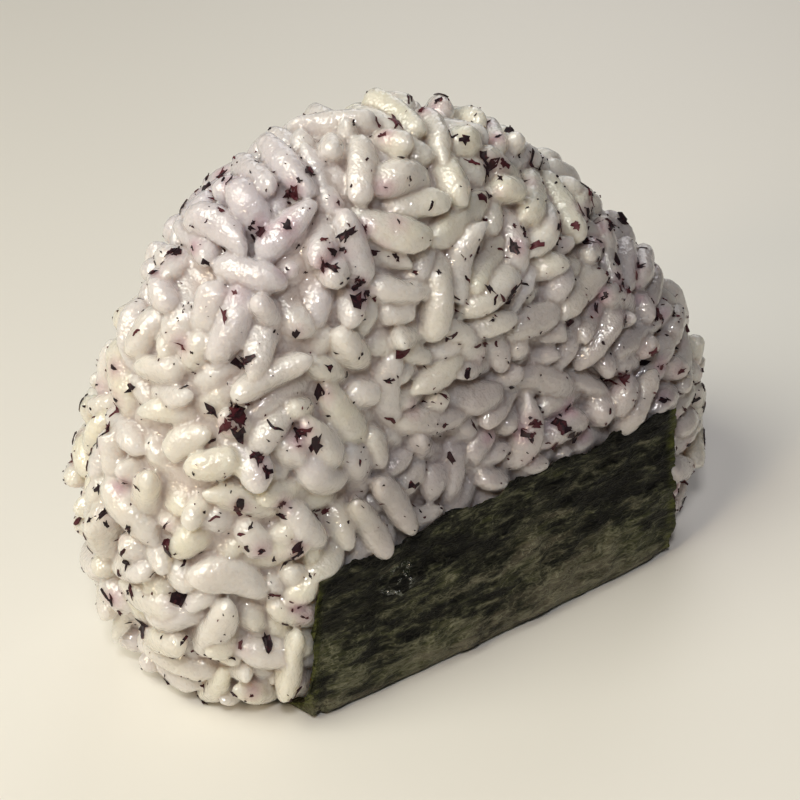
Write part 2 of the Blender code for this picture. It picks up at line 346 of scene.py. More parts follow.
class Grains:
    """Middles, axes and sizes of all grains: the outer layer first, then the one under it."""

    def __init__(self, form, strip, chance):
        count = OUTER_GRAINS + UNDER_GRAINS
        self.outer = np.arange(count) < OUTER_GRAINS
        self.middle = form.scatter(count, chance)
        _, normal = form.nearest(self.middle)
        self.axis = unit(np.cross(normal, chance.normal(size=(count, 3))))
        self.width = chance.uniform(*GRAIN_WIDTH, count)
        self.thick = self.width * chance.uniform(*GRAIN_THICKNESS, count)
        self.length = chance.uniform(*GRAIN_LENGTH, count)
        self.broken = chance.random(count) < BROKEN_SHARE
        self.length[self.broken] = chance.uniform(*BROKEN_LENGTH, self.broken.sum())
        self.radius = (self.width + self.thick) / 4
        self.reach = self.length / 2 - self.radius * 0.95
        self.choose_depths(strip, chance)
        self.lay_over_edges(strip, normal, chance)
        self.tone = chance.random(count)
        self.home = self.middle.copy()
        self.pack(form, strip)

    def choose_depths(self, strip, chance):
        """How deep each grain's middle lies, and how far the grain tilts out of the skin."""
        count = len(self.middle)
        proud = self.outer & (chance.random(count) < PROUD_SHARE)
        proud &= strip.inside(self.middle) < -PROUD_CLEARANCE
        self.tilt = np.abs(np.radians(chance.normal(0, TILT_SPREAD, count)))
        steep = ~proud & (chance.random(count) < STEEP_SHARE)
        self.tilt[steep] = np.radians(chance.uniform(*STEEP_TILT, steep.sum()))
        self.depth = self.radius * SINK + self.reach * np.sin(self.tilt)
        self.depth += chance.normal(0, SINK_SPREAD, count)
        self.depth[~self.outer] += LAYER_STEP
        self.depth[proud] -= PROUD_RISE

    def lay_over_edges(self, strip, normal, chance):
        """Some outer grains by the nori hang over its edge, near upright."""
        count = len(self.middle)
        self.over = self.outer & (chance.random(count) < OVER_EDGE_SHARE)
        self.over &= strip.beside(self.middle, normal)
        self.depth[self.over] = OVER_EDGE_DEPTH
        self.tilt[self.over] = 0
        sideways = chance.normal(0, HANG_SPREAD, (count, 3)) * np.array([1, 0, 0])
        hang = unit(np.array([0.0, 0.0, 1.0]) + sideways)
        self.axis[self.over] = unit(hang - normal * (hang * normal).sum(1)[:, None])[self.over]

    def beads(self):
        return self.middle[:, None] + self.axis[:, None] * (self.reach[:, None] * CHAIN)[:, :, None]

    def pack(self, form, strip):
        """Push overlapping grains apart while the skin holds each at its own depth and tilt."""
        count, links = len(self.middle), len(CHAIN)
        owner = np.repeat(np.arange(count), links)
        bead_radius = np.repeat(self.radius, links)
        for step in range(PACKING_STEPS):
            beads = self.beads().reshape(-1, 3)
            if step % PAIRING_STEPS == 0:
                first, second = near_pairs(beads, GRAIN_WIDTH[1] + PAIRING_MARGIN)
                apart = owner[first] != owner[second]
                first, second = first[apart], second[apart]
            gap = beads[first] - beads[second]
            length = np.linalg.norm(gap, axis=1)
            overlap = (bead_radius[first] + bead_radius[second]) * OVERLAP - length
            pushing = overlap > 0
            push = (gap / np.maximum(length, 1e-9)[:, None] * (overlap * 0.5)[:, None])[pushing]
            force = np.zeros((len(beads), 3))
            np.add.at(force, first[pushing], push)
            np.add.at(force, second[pushing], -push)
            force = force.reshape(count, links, 3)
            lever = self.beads() - self.middle[:, None]
            self.middle = self.middle + force.sum(1) * MOVE
            spin = np.cross(lever, force).sum(1) / np.maximum((lever ** 2).sum((1, 2)), 1e-9)[:, None]
            self.axis = unit(self.axis + np.cross(spin, self.axis) * TURN)
            self.hold(form, strip)

    def hold(self, form, strip):
        """Bring each grain back towards its depth and tilt, and those over the nori's edge home."""
        depth, normal = form.nearest(self.middle)
        covered = np.clip(strip.inside(self.middle) / SINK_BLEND, 0, 1)
        wanted = self.depth + np.where(self.outer, NORI_SINK * covered, 0)
        self.middle = self.middle + normal * ((depth - wanted) * DEPTH_PULL)[:, None]
        self.middle[self.over] += (self.home - self.middle)[self.over] * HOME_PULL
        rise = (self.axis * normal).sum(1)
        lean = np.sin(self.tilt) * np.where(rise < 0, -1, 1)
        self.axis = unit(self.axis + normal * ((lean - rise) * TILT_PULL)[:, None])
        self.normal = normal


# -------- grain meshes


def girths(along, grains, chance):
    """Each grain's girth at each ring, from 0 at the tips to about 1 at the middle."""
    count = len(grains.middle)
    blunt = chance.uniform(*BLUNTNESS, count)[:, None]
    girth = np.clip(1 - np.abs(along)[None] ** blunt, 0, 1) ** 0.5
    pointed = chance.uniform(-POINTEDNESS, POINTEDNESS, count)[:, None]
    girth = girth * (1 - pointed * along[None])
    girth = np.where(grains.broken[:, None], girth ** np.where(along[None] > 0, SNAPPED, 1), girth)
    girth[:, [0, -1]] = 0
    return girth


def notches(along, turn, count, chance):
    """How deep the dent of each grain's germ is at each ring and side."""
    notch_side = chance.uniform(0, 2 * math.pi, (count, 1, 1))
    notched = (chance.random((count, 1, 1)) < NOTCH_SHARE) * NOTCH_DEPTH
    dent = notched * np.exp(-((along[None, :, None] - NOTCH_PLACE) / NOTCH_REACH) ** 2)
    return dent * np.clip(np.cos(turn - notch_side), 0, 1) ** 2


def grain_surface(grains, chance):
    """Vertices of the grains, (grain, ring, side, 3), with the two tips as collapsed rings."""
    count, axis = len(grains.middle), grains.axis
    across = unit(np.cross(grains.normal, axis))
    roll = chance.uniform(0, 2 * math.pi, count)
    side = across * np.cos(roll)[:, None] + np.cross(axis, across) * np.sin(roll)[:, None]
    rise = np.cross(axis, side)
    along = -np.cos(np.linspace(0, math.pi, RINGS))
    turn = np.linspace(0, 2 * math.pi, SIDES, endpoint=False)
    girth = girths(along, grains, chance)
    phase = chance.uniform(0, 2 * math.pi, (3, count))[:, :, None, None]
    wave = 1 + LOBES[0] * np.cos(3 * turn + phase[0]) + LOBES[1] * np.cos(2 * turn + phase[1])
    wave = wave + LOBES[2] * np.cos(5 * along[None, :, None] + phase[2]) * np.cos(turn + phase[0])
    length = grains.length[:, None, None]
    spread = (grains.width / 2)[:, None, None] * girth[:, :, None] * wave * np.cos(turn)
    lift = (grains.thick / 2)[:, None, None] * girth[:, :, None] * wave * np.sin(turn)
    bend = chance.normal(0, BEND, (count, 1, 1)) * (length / (8 * MM)) ** 2
    spread = spread + bend * (1 - along[None, :, None] ** 2 * 2)
    dent = notches(along, turn, count, chance)
    spread = spread - dent * np.cos(turn)
    lift = lift - dent * np.sin(turn)
    place = grains.middle[:, None, None]
    place = place + axis[:, None, None] * (length / 2 * along[None, :, None])[..., None]
    place = place + side[:, None, None] * spread[..., None]
    return place + rise[:, None, None] * lift[..., None]


def hold_under_strip(place, form, strip):
    """Flatten what would come through the nori."""
    points = place.reshape(-1, 3)
    share = np.clip((strip.inside(points) - FLAT_INSET) / FLAT_BLEND, 0, 1)[:, None]
    covered = share[:, 0] > 0
    depth, facing = form.nearest(points[covered])
    proud = np.maximum(-depth - FLAT_PROUD, 0)[:, None]
    points[covered] -= facing * proud * share[covered]
    points[:, 2] = np.maximum(points[:, 2], LOWEST_RICE)
    return points.reshape(place.shape)


def tube_faces(count):
    """Faces of closed tube grids whose first and last rings are single points."""
    inner = RINGS - 2
    per = inner * SIDES + 2
    ring, turn = np.indices((inner - 1, SIDES))
    after = (turn + 1) % SIDES
    near, far = 1 + ring * SIDES, 1 + (ring + 1) * SIDES
    quads = np.stack([near + turn, near + after, far + after, far + turn], -1).reshape(-1, 4)
    turn, after = turn[0], after[0]
    low = np.stack([np.zeros_like(turn), after + 1, turn + 1], 1)
    base = 1 + (inner - 1) * SIDES
    high = np.stack([np.full_like(turn, per - 1), base + turn, base + after], 1)
    offset = (np.arange(count) * per)[:, None, None]
    tris = np.concatenate([low, high])
    return (offset + quads).reshape(-1, 4), (offset + tris).reshape(-1, 3)


def tube_points(place):
    """The grid's vertices as rows, each tip once."""
    inner = place[:, 1:-1].reshape(len(place), -1, 3)
    return np.concatenate([place[:, 0, :1], inner, place[:, -1, :1]], axis=1).reshape(-1, 3)


# -------- meshes and pieces


def new_mesh(name, points, *faces):
    """A smooth mesh of these points, with the faces of one or more arrays."""
    mesh = bpy.data.meshes.new(name)
    mesh.from_pydata(points.tolist(), [], [face for array in faces for face in array.tolist()])
    mesh.validate()
    mesh.shade_smooth()
    return mesh


def walls(rim, back):
    """Quads from each edge of an upper face's rim to the same edge of the lower face."""
    after = np.roll(rim, -1)
    return np.stack([after, rim, rim + back, after + back], -1)


def halved(quads):
    return np.concatenate([quads[:, [0, 1, 2]], quads[:, [0, 2, 3]]])


def point_tree(points):
    tree = KDTree(len(points))
    for k, point in enumerate(points):
        tree.insert(point, k)
    tree.balance()
    return tree


def set_attribute(mesh, name, values):
    layer = mesh.attributes.new(name, "FLOAT", "POINT")
    layer.data.foreach_set("value", np.asarray(values, np.float32))


def new_object(name, data):
    made = bpy.data.objects.new(name, data)
    bpy.context.scene.collection.objects.link(made)
    return made


def add_piece(name, mesh, material, replaces=()):
    made = new_object(name, mesh)
    mesh.materials.append(material)
    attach(made, "root")
    if replaces:
        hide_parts(*replaces)


# -------- materials


class Nodes:
    """A short way to write a material's nodes."""

    def __init__(self, name):
        self.material = bpy.data.materials.new(name)
        self.material.use_nodes = True
        self.tree = self.material.node_tree
        self.shader = self.tree.nodes["Principled BSDF"]

    def add(self, kind, inputs=None, **settings):
        node = self.tree.nodes.new("ShaderNode" + kind)
        for key, value in settings.items():
            setattr(node, key, value)
        for key, value in (inputs or {}).items():
            self.plug(node.inputs[key], value)
        return node

    def plug(self, socket, value):
        if isinstance(value, bpy.types.NodeSocket):
            self.tree.links.new(value, socket)
        else:
            socket.default_value = value

    def shade(self, **values):
        for key, value in values.items():
            self.plug(self.shader.inputs[key.replace("_", " ")], value)

    def noise(self, vector, scale, detail=2.0, roughness=0.5):
        inputs = {"Vector": vector, "Scale": scale, "Detail": detail, "Roughness": roughness}
        return self.add("TexNoise", inputs).outputs["Fac"]

    def mix(self, factor, first, second):
        return self.add("Mix", {0: factor, 6: first, 7: second}, data_type="RGBA").outputs[2]

    def remap(self, value, low, high, new_low=0.0, new_high=1.0):
        inputs = dict(enumerate((value, low, high, new_low, new_high)))
        return self.add("MapRange", inputs).outputs["Result"]

    def math(self, operation, first, second):
        return self.add("Math", {0: first, 1: second}, operation=operation).outputs[0]

    def times(self, first, second):
        return self.math("MULTIPLY", first, second)

    def bump(self, height, strength, distance, below=None):
        """A relief of this height in metres, on top of the one below."""
        inputs = {"Height": height, "Strength": strength, "Distance": distance}
        if below:
            inputs["Normal"] = below
        return self.add("Bump", inputs).outputs[0]

    def mapped(self, **inputs):
        return self.add("Mapping", inputs).outputs[0]

    def attribute(self, name):
        return self.add("Attribute", attribute_name=name).outputs["Fac"]

    def place(self):
        return self.add("TexCoord").outputs["Object"]


def rice_material():
    """Pearly and creamy grains under a wet skin, with painted shade: darker and greyer low on the ball,
    deep in the hollows and where grains touch, and darker with a lavender tint at one shoulder.
    """
    nodes = Nodes("rice")
    place = nodes.place()
    pearl, cream, cloud = (0.645, 0.605, 0.575, 1), (0.69, 0.65, 0.53, 1), (0.56, 0.52, 0.51, 1)
    lavender, lower_shade, hollow_shade = (0.55, 0.51, 0.56, 1), (0.385, 0.346, 0.350, 1), (0.52, 0.43, 0.39, 1)
    crease_shade, juice = (0.35, 0.275, 0.235, 1), (0.46, 0.27, 0.33, 1)
    colour = nodes.mix(nodes.attribute("tone"), pearl, cream)
    cloudy = nodes.remap(nodes.noise(place, 420, 2), 0.35, 0.7)
    colour = nodes.mix(nodes.times(cloudy, 0.35), colour, cloud)
    tint_and_shade_share = nodes.remap(nodes.noise(place, 75, 2), 0.52, 0.72, 0.0, 0.5)
    # The shoulder spot is shiso tint and painted shade together: lavender and darker, over random lavender
    # patches
    tint_and_shade_share = nodes.math("MAXIMUM", tint_and_shade_share, nodes.times(nodes.attribute("tint_and_shade"), 0.85))
    colour = nodes.mix(tint_and_shade_share, colour, lavender)
    # Painted shade: darker, greyer rice under a slanting line low on the ball
    colour = nodes.mix(nodes.times(nodes.attribute("clear"), 0.8), colour, lower_shade)
    # Painted shade: rice darkened where it lies deep in the hollows between grains
    colour = nodes.mix(nodes.remap(nodes.attribute("deep"), 0.3, 0.8), colour, hollow_shade)
    # Painted shade: rice darkened brown in the creases where grains touch
    colour = nodes.mix(nodes.remap(nodes.attribute("crease"), 0.40, 1.0, 0.0, 0.38), colour, crease_shade)
    colour = nodes.mix(nodes.attribute("stain"), colour, juice)
    skin = nodes.bump(nodes.noise(place, 2150, 1), 1.0, 0.00018)
    starch = nodes.bump(nodes.noise(place, 4800, 2, 0.6), 0.30, 0.00008, skin)
    rough = nodes.remap(nodes.noise(place, 900, 2), 0.3, 0.7, 0.42, 0.64)
    nodes.shade(Base_Color=colour, Roughness=rough, Normal=starch, IOR=1.36)
    nodes.shade(Subsurface_Weight=1.0, Subsurface_Radius=(1.0, 0.90, 0.80), Subsurface_Scale=0.0042)
    nodes.shade(Coat_Weight=1.0, Coat_Roughness=0.05, Coat_IOR=1.72, Coat_Normal=skin)
    return nodes.material


def nori_material():
    """Matted seaweed: black hollows, green and brown fronds, pale fibres, a painted green glow along the
    rim, painted light paler low down and painted shade high up and at the ends, and a wet place.
    """
    nodes = Nodes("nori")
    place = nodes.place()
    along = nodes.mapped(Vector=place, Scale=(0.34, 1.0, 1.0), Rotation=(0, -0.10, 0))
    broad = nodes.noise(along, 290, 5, 0.66)
    frond = nodes.noise(along, 900, 4, 0.66)
    speck = nodes.noise(place, 2600, 3, 0.6)
    net = fibre_net(nodes, place)
    tone = nodes.math("ADD", nodes.times(broad, 0.55), nodes.times(frond, 0.45))
    # Painted light and shade on the tone, by height and along X
    tone = painted_light_on_tone(nodes, place, tone)
    black, moss = (0.0010, 0.0010, 0.0008, 1), (0.0160, 0.0172, 0.0100, 1)
    green, brown = (0.060, 0.064, 0.027, 1), (0.074, 0.064, 0.043, 1)
    taupe, pale, rim_glow = (0.172, 0.156, 0.110, 1), (0.275, 0.268, 0.180, 1), (0.105, 0.115, 0.026, 1)
    hue = nodes.remap(nodes.noise(along, 170, 3, 0.6), 0.44, 0.58)
    colour = nodes.mix(nodes.remap(tone, 0.42, 0.50), black, moss)
    colour = nodes.mix(nodes.remap(tone, 0.485, 0.58), colour, nodes.mix(hue, green, brown))
    colour = nodes.mix(nodes.remap(tone, 0.56, 0.68, 0.0, 0.85), colour, taupe)
    colour = nodes.mix(nodes.times(net, nodes.remap(tone, 0.46, 0.60, 0.06, 0.60)), colour, pale)
    # Painted light: the rim glows green as if lit through the thin edge
    rim_glow_share = nodes.times(nodes.attribute("rim"), nodes.remap(frond, 0.40, 0.58, 0.15, 0.95))
    colour = nodes.mix(rim_glow_share, colour, rim_glow)
    rough = nodes.remap(speck, 0.35, 0.65, 0.38, 0.62)
    raised = nodes.math("ADD", nodes.times(net, 0.3), nodes.times(tone, 2.0))
    relief = nodes.bump(speck, 0.4, 0.00012, nodes.bump(raised, 0.9, 0.0004))
    nodes.shade(Base_Color=colour, Roughness=rough, Normal=relief, IOR=1.40, Specular_IOR_Level=0.18)
    folds = nodes.bump(nodes.noise(place, 1500, 1), 1.0, 0.0012)
    nodes.shade(Coat_Weight=wet_place(nodes, place), Coat_Roughness=0.10, Coat_IOR=1.9)
    nodes.shade(Coat_Tint=(0.85, 1.0, 0.70, 1), Coat_Normal=folds)
    return nodes.material


def fibre_net(nodes, place):
    """Sets of thin fibres, each lying its own way, where a stretched noise passes its middle."""
    net = 0.0
    for turn, stretch, scale in FIBRE_SETS:
        facing = nodes.mapped(Vector=place, Scale=(stretch, 1.0, 1.0), Rotation=(0, turn, 0))
        away = nodes.math("SUBTRACT", nodes.noise(facing, scale, 2, 0.6), 0.5)
        away = nodes.math("ABSOLUTE", away, 0.0)
        net = nodes.math("MAXIMUM", net, nodes.remap(away, 0.0, 0.030, 1.0, 0.0))
    return net


def painted_light_on_tone(nodes, place, tone):
    """The tone with painted light and shade: paler low down and darker high up, as painted bounce light
    from the floor, and darker towards the flaps' two ends as painted shade.
    """
    where = nodes.add("SeparateXYZ", {"Vector": place}).outputs
    tone = nodes.math("ADD", tone, nodes.remap(where["Z"], 0.002, 0.018, 0.086, -0.052))
    tone = nodes.math("ADD", tone, nodes.remap(where["X"], -0.026, -0.006, -0.040, 0.012))
    return nodes.math("ADD", tone, nodes.remap(where["X"], 0.004, 0.020, 0.0, -0.048))


def wet_place(nodes, place):
    """Broken wet spots round one place, from 0 to 1."""
    shift = tuple(-middle / WET_REACH for middle in WET_SPOT)
    around = nodes.mapped(Vector=place, Location=shift, Scale=(1 / WET_REACH,) * 3)
    ball = nodes.add("TexGradient", {"Vector": around}, gradient_type="SPHERICAL").outputs["Fac"]
    broken = nodes.remap(nodes.noise(place, 1100, 1), 0.54, 0.60)
    return nodes.times(nodes.remap(ball, 0.05, 0.3), broken)


def shiso_material():
    nodes = Nodes("shiso")
    mottled = nodes.noise(nodes.place(), 1800, 3, 0.6)
    dark, purple, red = (0.011, 0.003, 0.006, 1), (0.080, 0.013, 0.019, 1), (0.13, 0.024, 0.032, 1)
    colour = nodes.mix(nodes.remap(nodes.attribute("tone"), 0.55, 1.0), dark, purple)
    colour = nodes.mix(nodes.remap(mottled, 0.54, 0.84), colour, red)
    nodes.shade(Base_Color=colour, Roughness=0.52, IOR=1.35, Normal=nodes.bump(mottled, 0.5, 0.0001))
    return nodes.material


# -------- the pressed rice


class GrainBalls:
    """Balls that fill the grains along their axes, to tell which grain a point of the skin is on."""

    def __init__(self, place):
        inner = place[:, 1:-1:2]
        centre = inner.mean(2)
        self.radius = np.linalg.norm(inner - centre[:, :, None], axis=-1).mean(2).ravel()
        self.owner = np.repeat(np.arange(len(place)), inner.shape[1])
        self.tree = point_tree(centre.reshape(-1, 3))

    def grain_and_crease(self, points):
        """The grain each point is on, and from 0 to 1 how near it is to touching a second one."""
        index = np.empty((len(points), NEAR_BALLS), int)
        away = np.empty((len(points), NEAR_BALLS))
        for k, point in enumerate(points):
            _, index[k], away[k] = zip(*self.tree.find_n(point, NEAR_BALLS))
        away = away - self.radius[index]
        owner = self.owner[index]
        best = away.argmin(1)[:, None]
        mine = np.take_along_axis(owner, best, 1)
        nearest = np.take_along_axis(away, best, 1)[:, 0]
        second = np.where(owner == mine, 1.0, away).min(1)
        return mine[:, 0], np.exp(-(((second - nearest) / GROOVE_REACH) ** 2))


def largest_island(points, faces):
    """The points and faces of the largest connected skin, without closed hollows inside it."""
    first, second = faces.ravel(), np.roll(faces, 1, axis=1).ravel()
    label, before = np.arange(len(points)), None
    while not np.array_equal(label, before):
        before = label.copy()
        low = np.minimum(before[first], before[second])
        np.minimum.at(label, before[first], low)
        np.minimum.at(label, before[second], low)
        label = label[label]
    kept = label == np.bincount(label).argmax()
    number = np.cumsum(kept) - 1
    return points[kept], number[faces[kept[faces[:, 0]]]]


def relaxed(points, faces, rounds, share=0.5):
    """The points drawn towards the middle of their neighbours."""
    first, second = faces.ravel(), np.roll(faces, 1, axis=1).ravel()
    count = np.bincount(first, minlength=len(points))[:, None]
    for _ in range(rounds):
        total = np.stack([np.bincount(first, points[second, k], len(points)) for k in range(3)], 1)
        points = points + (total / count - points) * share
    return points


def through_modifier(mesh, kind, **settings):
    """The mesh that one modifier makes of this one."""
    holder = new_object("holder", mesh)
    modifier = holder.modifiers.new(kind, kind)
    for key, value in settings.items():
        setattr(modifier, key, value)
    made = bpy.data.meshes.new_from_object(holder.evaluated_get(bpy.context.evaluated_depsgraph_get()))
    bpy.data.objects.remove(holder)
    return made


def mesh_arrays(mesh):
    """Points and faces of a mesh whose faces all have the same number of corners."""
    points = np.empty(len(mesh.vertices) * 3, np.float32)
    mesh.vertices.foreach_get("co", points)
    corners = np.empty(len(mesh.loops), np.int32)
    mesh.loops.foreach_get("vertex_index", corners)
    return points.reshape(-1, 3).astype(float), corners.reshape(len(mesh.polygons), -1)


def lower_shade_share(points):
    """From 0 to 1, how much painted shade darkens and greys the rice at each point."""
    under = (LOWER_SHADE_HEIGHT + LOWER_SHADE_SLOPE * points[:, 0] - points[:, 2]) / LOWER_SHADE_BLUR
    inside = np.minimum(points[:, 0] - LOWER_SHADE_LEFT, LOWER_SHADE_RIGHT - points[:, 0]) / LOWER_SHADE_BLUR
    return np.clip(under + 0.5, 0, 1) * np.clip(inside + 0.5, 0, 1)


def round_spot(points, spot, reach):
    """1 on the line through the ball at this place in X and Z, falling to 0 well past the reach."""
    away = np.hypot(points[:, 0] - spot[0], points[:, 2] - spot[1])
    return np.exp(-((away / reach) ** 2))


def softness(points):
    """From 0 to SOFT_SHARE, how far the grains run together at each point."""
    return SOFT_SHARE * round_spot(points, SOFT_SPOT, SOFT_REACH)


def fused_skin(place, form):
    """One closed skin, as points and faces, round the grains and the core under them."""
    points = tube_points(place)
    quads, tris = tube_faces(len(place))
    core = form.points - form.normals * CORE_DEPTH
    solid = new_mesh("solid", np.concatenate([points, core]), quads, tris, form.faces + len(points))
    skin, faces = mesh_arrays(through_modifier(solid, "REMESH", mode="VOXEL", voxel_size=VOXEL))
    skin, faces = largest_island(skin, faces)
    return relaxed(skin, faces, 1), faces


def creased_skin(skin, faces, facing, balls, strip):
    """The skin with lumps, dents and grooves where the rice is bare, and calmer where it was pressed."""
    bare = np.clip(-strip.inside(skin) / BARE_BLEND, 0, 1)
    _, crease = balls.grain_and_crease(skin)
    rise = ripple(skin, LUMP_SIZE, 2.0, 2) * LUMPS + ripple(skin, DENT_SIZE, 6.0, 1) * DENTS
    rise -= crease * GROOVE_DEPTH
    skin = relaxed(skin + facing * (rise * bare)[:, None], faces, 1, 0.4)
    calm = relaxed(skin, faces, CALM_ROUNDS)
    soft = np.maximum(1 - bare, softness(skin))[:, None]
    return skin * (1 - soft) + calm * soft


def make_pressed_rice(grains, form, strip, material, chance):
    """The grains, stuck together as cooked rice does, in one skin with the core under them."""
    place = grain_surface(grains, chance)
    under = ~grains.over
    place[under] = hold_under_strip(place[under], form, strip)
    balls = GrainBalls(place)
    skin, faces = fused_skin(place, form)
    fine = new_mesh("fine", skin, faces)
    facing = np.empty(len(skin) * 3, np.float32)
    fine.vertex_normals.foreach_get("vector", facing)
    skin = creased_skin(skin, faces, facing.reshape(-1, 3), balls, strip)
    fine.vertices.foreach_set("co", skin.astype(np.float32).ravel())
    mesh = through_modifier(fine, "DECIMATE", ratio=MOST_TRIANGLES / (2 * len(faces)))
    mesh = through_modifier(mesh, "TRIANGULATE", quad_method="BEAUTY")
    mesh.name = "rice_pressed"
    places, _ = mesh_arrays(mesh)
    mine, crease = balls.grain_and_crease(places)
    depth, _ = form.nearest(places)
    set_attribute(mesh, "tone", grains.tone[mine])
    # crease: the share of painted shade where grains touch, less where they run together
    set_attribute(mesh, "crease", crease * (1 - softness(places)))
    # clear: the share of painted shade under the slanting line
    set_attribute(mesh, "clear", lower_shade_share(places))
    # tint: shiso tint and painted shade at one shoulder
    set_attribute(mesh, "tint_and_shade", round_spot(places, TINT_AND_SHADE_SPOT, TINT_AND_SHADE_REACH))
    # deep: the share of painted shade in the hollows
    set_attribute(mesh, "deep", np.clip(depth / HOLLOW_SHADE_DEPTH, 0, 1))
    add_piece("rice_pressed", mesh, material, replaces=["rice_ball"])
    return mesh


# -------- the nori sheet


def sheet_grid(strip):
    """The sheet's points, (row, column, 3), from flap to flap, and how far each is from a side edge."""
    rows = int((2 * strip.rise + BASE_DEPTH) / SHEET_STEP)
    columns = int((strip.right - strip.left) / SHEET_STEP)
    probes = np.linspace(strip.left + EDGE_INSET, strip.right - EDGE_INSET, SECTION_PROBES)
    lines = np.array([strip.line(x, rows) for x in probes])
    heights = lines[len(lines) // 2, :, 1]
    left = np.interp(heights, strip.heights, strip.lefts)[:, None]
    right = np.interp(heights, strip.heights, strip.rights)[:, None]
    x = left + (right - left) * np.linspace(0, 1, columns)
    held = np.clip(x, probes[0], probes[-1])
    yz = [[np.interp(held[row], probes, lines[:, row, way]) for row in range(rows)] for way in range(2)]
    return np.stack([x, *yz], -1), np.minimum(x - left, right - x)


def grid_normals(place):
    """Outward normals, since rows start down the front flap and columns run along +X."""
    return unit(np.cross(np.gradient(place, axis=0), np.gradient(place, axis=1)))


def imprint(place, normal, rice_tree):
    """How far the grains under the sheet raise each of its points, as soft dents and bumps."""
    relief = np.empty(place.shape[:2])
    for spot in np.ndindex(relief.shape):
        start = place[spot] + normal[spot] * MM
        away = rice_tree.ray_cast(start, -normal[spot], FEELER_REACH)[3]
        relief[spot] = -NO_RICE if away is None else MM - away
    for _ in range(IMPRINT_BLUR):
        around = relief[:-2, 1:-1] + relief[2:, 1:-1] + relief[1:-1, :-2] + relief[1:-1, 2:]
        relief[1:-1, 1:-1] = 0.25 * around
    return np.clip((relief - relief.mean()) / IMPRINT_RANGE, -1, 1) * IMPRINT


def sheet_relief(place):
    """The height of the sheet's fibres, which run along X, and of its slow crinkles."""
    sheet = place.reshape(-1, 3)
    fibres = 0.5 * ripple(sheet * np.array([0.22, 1, 1]), FIBRE_SIZE, 3.0)
    fibres = fibres + 0.5 * ripple(sheet, 2 * FIBRE_SIZE, 9.0)
    crinkles = ripple(sheet * np.array([0.4, 1, 1]), CRINKLE_SIZE, 5.0, 3)
    return (FIBRES * fibres + CRINKLES * crinkles).reshape(place.shape[:2])


def frayed(edge, seed):
    """How far each point of a cut edge stands out: slow waves with a fine fray on them."""
    waves = EDGE_WAVE * ripple(edge, EDGE_WAVE_SIZE, seed, 1)
    return waves + EDGE_FRAY * ripple(edge, EDGE_FRAY_SIZE, seed + 4, 2)


def fray_edges(place):
    """Move the points of the sheet's four cut edges in and out."""
    rows, columns = place.shape[:2]
    for row in (0, rows - 1):
        place[row, :, 2] += frayed(place[row], 21.0 + row)
    for column, side in ((0, -1), (columns - 1, 1)):
        place[:, column, 0] += frayed(place[:, column], 31.0 + column) * side


def two_faced(outer, inner):
    """Points and quads of a closed sheet between two grids of points."""
    rows, columns = outer.shape[:2]
    number = np.arange(rows * columns).reshape(rows, columns)
    face = np.stack([number[:-1, :-1], number[:-1, 1:], number[1:, 1:], number[1:, :-1]], -1).reshape(-1, 4)
    rim = np.concatenate([number[0, :-1], number[:-1, -1], number[-1, :0:-1], number[:0:-1, 0]])
    points = np.concatenate([outer.reshape(-1, 3), inner.reshape(-1, 3)])
    back = rows * columns
    return points, np.concatenate([face, face[:, ::-1] + back, walls(rim, back)])


def make_nori(strip, material, rice_tree):
    """A thin sheet of nori with fibres, dents over the grains, and frayed edges."""
    place, from_edge = sheet_grid(strip)
    normal = grid_normals(place)
    lift = imprint(place, normal, rice_tree) + sheet_relief(place)
    off_table = np.clip((place[..., 2] - RELIEF_START) / RELIEF_BLEND, 0, 1)
    place = place + normal * ((SHEET_GAP + lift) * off_table)[..., None]
    fray_edges(place)
    inner = place - grid_normals(place) * SHEET_BODY
    lowest = np.minimum(place[..., 2], inner[..., 2])
    push = np.clip(LOWEST_NORI - lowest, 0, None)
    place[..., 2] += push
    inner[..., 2] += push
    mesh = new_mesh("nori_sheet", *two_faced(place, inner))
    # rim: the share of painted glow by the side edges
    set_attribute(mesh, "rim", np.tile(np.clip(1 - from_edge.ravel() / RIM_GLOW, 0, 1), 2))
    add_piece("nori_sheet", mesh, material, replaces=["nori_strip"])


# -------- shiso flakes


def torn_outline(chance, size, corners):
    """A ragged outline round the origin: jagged, longer one way than the other."""
    shift = chance.uniform(-CORNER_SHIFT, CORNER_SHIFT, corners)
    turn = np.sort((np.arange(corners) + shift) * 2 * math.pi / corners)
    reach = chance.uniform(*CORNER_REACH, corners)
    stretch = chance.uniform(*FLAKE_STRETCH)
    return np.stack([np.cos(turn) * reach, np.sin(turn) * reach * stretch], 1) * size / 2


def random_axes(facing, chance):
    """Two directions square to the facing and to each other."""
    side = unit(np.cross(facing, chance.normal(size=3)))
    return side, np.cross(facing, side)


def draped(flat, centre, axes, facing, tree):
    """Flat points round the centre, dropped onto the grains and raised a little, or None in thin air."""
    points = centre + flat[:, :1] * axes[0] + flat[:, 1:] * axes[1]
    landed = [tree.ray_cast(point + facing * DROP_HEIGHT, -facing, DROP_REACH)[0] for point in points]
    if None in landed:
        return None
    landed = np.array(landed)
    height = (landed - landed.mean(0)) @ facing
    landed = landed - facing * np.clip(height + FLAKE_SAG, None, 0)[:, None]
    return landed + facing * FLAKE_LIFT


def plate_faces(corners):
    """Triangles of two faces, each an outer ring, an inner ring and a middle, and the walls between."""
    total = 2 * corners + 1
    k = np.arange(corners)
    after = (k + 1) % corners
    inner, inner_after, middle = corners + k, corners + after, np.full(corners, 2 * corners)
    upper = np.stack([k, after, inner_after, k, inner_after, inner, inner, inner_after, middle], 1)
    upper = upper.reshape(-1, 3)
    return np.concatenate([upper, upper[:, ::-1] + total, halved(walls(k, total))])


